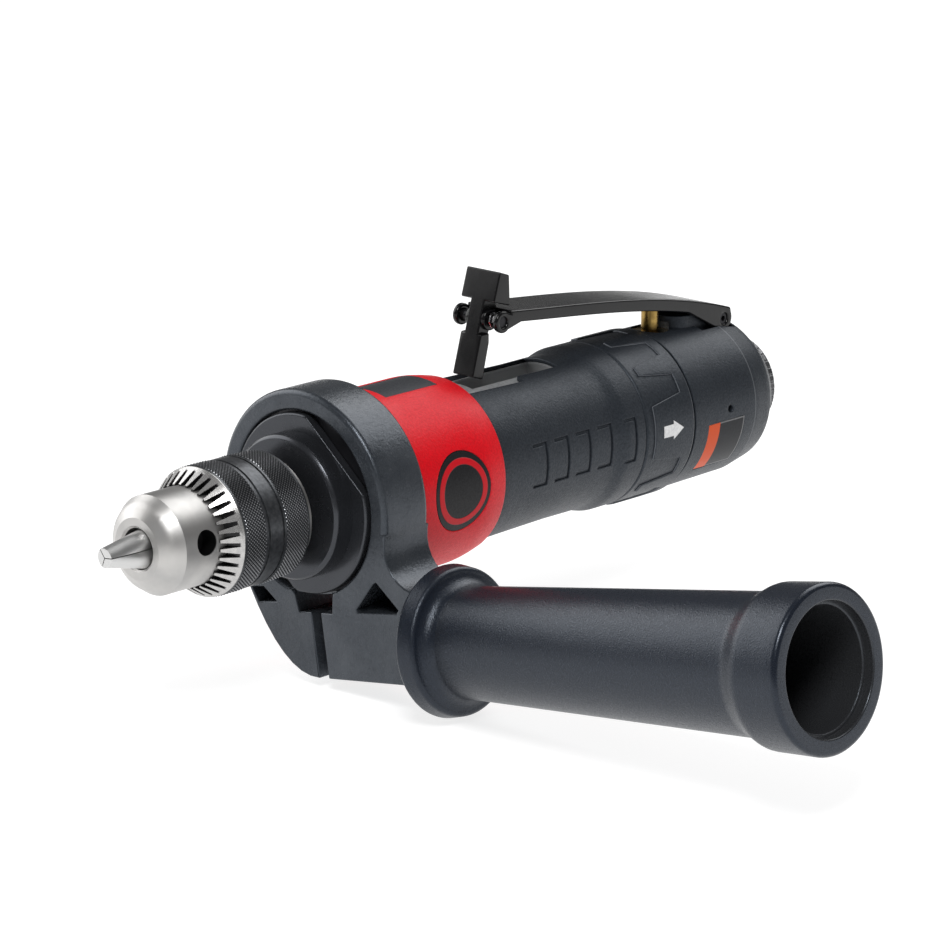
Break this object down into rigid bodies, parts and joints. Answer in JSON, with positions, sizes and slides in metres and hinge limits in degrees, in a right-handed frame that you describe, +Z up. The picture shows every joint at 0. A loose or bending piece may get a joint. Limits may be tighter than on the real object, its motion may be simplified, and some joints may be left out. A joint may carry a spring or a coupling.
{
  "type": "air drill",
  "caption": "In-line pneumatic drill with a keyed chuck, a lock-off throttle lever, a turning exhaust ring and a clamp-on side handle.",
  "frame": {"origin": "centre of the air inlet's mouth, on the tool axis", "axes": "+X forward along the spindle to the chuck, +Y left to the side handle, +Z up through the throttle lever"},
  "size_m": [0.2412, 0.1959, 0.0974],
  "materials": {
    "housing_black": "fine matte",
    "label_blank": "satin",
    "dark_steel": "black oxide",
    "steel": "ground",
    "chuck_steel": "bright satin",
    "spring_steel": "drawn wire",
    "seal_rubber": "matte",
    "brass": "turned",
    "lever_black": "gloss",
    "aluminium": "machined",
    "felt": "felt",
    "grip_black": "fine matte",
    "arrow_white": "satin",
    "band_red": "satin",
    "pad_grey": "matte",
    "collar_nylon": "glass-filled, coarse matte",
    "handle_nylon": "fine grain",
    "vane_fibre": "matte"
  },
  "bodies": {
    "housing": {"rear_housing": "housing_black", "label_plate": "label_blank", "inlet_bushing": "dark_steel", "inlet_seal": "seal_rubber", "inlet_screen": "steel", "valve_guide": "brass", "valve_seat": "steel", "valve_plug": "dark_steel", "valve_spring": "spring_steel", "pivot_pin": "steel", "motor_case": "aluminium", "muffler_felt": "felt", "grip_cover": "grip_black", "red_band": "band_red", "badge_pad": "pad_grey", "window_pad": "pad_grey", "gear_case": "dark_steel", "nose_cap": "dark_steel", "bearing_outer": "steel", "ring_gear": "steel", "motor_cylinder": "steel", "front_plate": "steel", "rear_plate": "steel", "front_rotor_bearing": "steel", "rear_rotor_bearing": "steel"},
    "spindle": {"spindle": "steel", "planet_pins": "steel", "bearing_inner": "steel", "bearing_balls": "steel", "chuck_body": "chuck_steel", "chuck_screw": "dark_steel"},
    "planet_1": {"planet_1": "steel"},
    "planet_2": {"planet_2": "steel"},
    "planet_3": {"planet_3": "steel"},
    "rotor": {"rotor": "steel", "rotor_vanes": "vane_fibre"},
    "sleeve": {"chuck_sleeve": "dark_steel", "chuck_nut": "steel"},
    "jaw_1": {"jaw_1": "chuck_steel"},
    "jaw_2": {"jaw_2": "chuck_steel"},
    "jaw_3": {"jaw_3": "chuck_steel"},
    "lever": {"throttle_lever": "lever_black", "lock_pin": "steel", "lock_spring": "spring_steel"},
    "lock": {"lock_lever": "lever_black"},
    "valve": {"valve_pin": "brass", "valve_head": "seal_rubber"},
    "exhaust": {"exhaust_ring": "grip_black", "flow_arrow": "arrow_white"},
    "clamp": {"clamp_collar": "collar_nylon", "clamp_bolt": "steel"},
    "washer": {"thrust_washer": "steel"},
    "handle": {"side_handle": "handle_nylon", "handle_insert": "brass"}
  },
  "joints": [
    {"name": "spindle_spin", "type": "hinge", "parent": "housing", "child": "spindle", "pos_m": [0.165, 0, 0], "axis": [1, 0, 0], "continuous": true},
    {"name": "rotor_spin", "type": "hinge", "parent": "housing", "child": "rotor", "pos_m": [0.09, 0, 0], "axis": [1, 0, 0], "continuous": true},
    {"name": "planet_1_spin", "type": "hinge", "parent": "spindle", "child": "planet_1", "pos_m": [0.136, 0, -0.0084], "axis": [1, 0, 0], "continuous": true},
    {"name": "planet_2_spin", "type": "hinge", "parent": "spindle", "child": "planet_2", "pos_m": [0.136, 0.00727, 0.0042], "axis": [1, 0, 0], "continuous": true},
    {"name": "planet_3_spin", "type": "hinge", "parent": "spindle", "child": "planet_3", "pos_m": [0.136, -0.00727, 0.0042], "axis": [1, 0, 0], "continuous": true},
    {"name": "sleeve_turn", "type": "hinge", "parent": "spindle", "child": "sleeve", "pos_m": [0.2, 0, 0], "axis": [1, 0, 0], "range_deg": [0, 4376.7]},
    {"name": "jaw_1_slide", "type": "slide", "parent": "spindle", "child": "jaw_1", "axis": [-0.9703, 0.0926, 0.2235], "range_m": [0, 0.02068]},
    {"name": "jaw_2_slide", "type": "slide", "parent": "spindle", "child": "jaw_2", "axis": [-0.9703, -0.2399, -0.0316], "range_m": [0, 0.02068]},
    {"name": "jaw_3_slide", "type": "slide", "parent": "spindle", "child": "jaw_3", "axis": [-0.9703, 0.1473, -0.1919], "range_m": [0, 0.02068]},
    {"name": "throttle_press", "type": "hinge", "parent": "housing", "child": "lever", "pos_m": [0.017, 0, 0.0222], "axis": [0, 1, 0], "range_deg": [0, 5], "stiffness_Nm_per_rad": 1.2, "springref_deg": -14.32},
    {"name": "lock_fold", "type": "hinge", "parent": "lever", "child": "lock", "pos_m": [0.1074, 0, 0.03665], "axis": [0, 1, 0], "range_deg": [0, 100.2]},
    {"name": "valve_slide", "type": "slide", "parent": "housing", "child": "valve", "axis": [0, 0, -1], "range_m": [0, 0.0022], "deforming": ["valve_spring"]},
    {"name": "exhaust_turn", "type": "hinge", "parent": "housing", "child": "exhaust", "pos_m": [0.056, 0, 0], "axis": [1, 0, 0], "continuous": true},
    {"name": "clamp_swivel", "type": "hinge", "parent": "housing", "child": "clamp", "pos_m": [0.1663, 0, 0], "axis": [1, 0, 0], "continuous": true},
    {"name": "washer_slide", "type": "slide", "parent": "clamp", "child": "washer", "axis": [0, 0.9874, 0.1582], "range_m": [0, 0.0031]},
    {"name": "handle_turn", "type": "hinge", "parent": "washer", "child": "handle", "pos_m": [0.1663, 0.0056, -0.03495], "axis": [0, 0.9874, 0.1582], "range_deg": [0, 720]}
  ],
  "couplings": [
    {"joint": "rotor_spin", "follows": "spindle_spin", "ratio": 4.6667},
    {"joint": "planet_1_spin", "follows": "spindle_spin", "ratio": -2.75},
    {"joint": "planet_2_spin", "follows": "spindle_spin", "ratio": -2.75},
    {"joint": "planet_3_spin", "follows": "spindle_spin", "ratio": -2.75},
    {"joint": "jaw_1_slide", "follows": "sleeve_turn", "m_per_rad": 0.00027056},
    {"joint": "jaw_2_slide", "follows": "sleeve_turn", "m_per_rad": 0.00027056},
    {"joint": "jaw_3_slide", "follows": "sleeve_turn", "m_per_rad": 0.00027056},
    {"joint": "lock_fold", "follows": "throttle_press", "ratio": 20},
    {"joint": "valve_slide", "follows": "throttle_press", "m_per_rad": 0.0228},
    {"joint": "washer_slide", "follows": "handle_turn", "m_per_rad": 0.00023873}
  ]
}
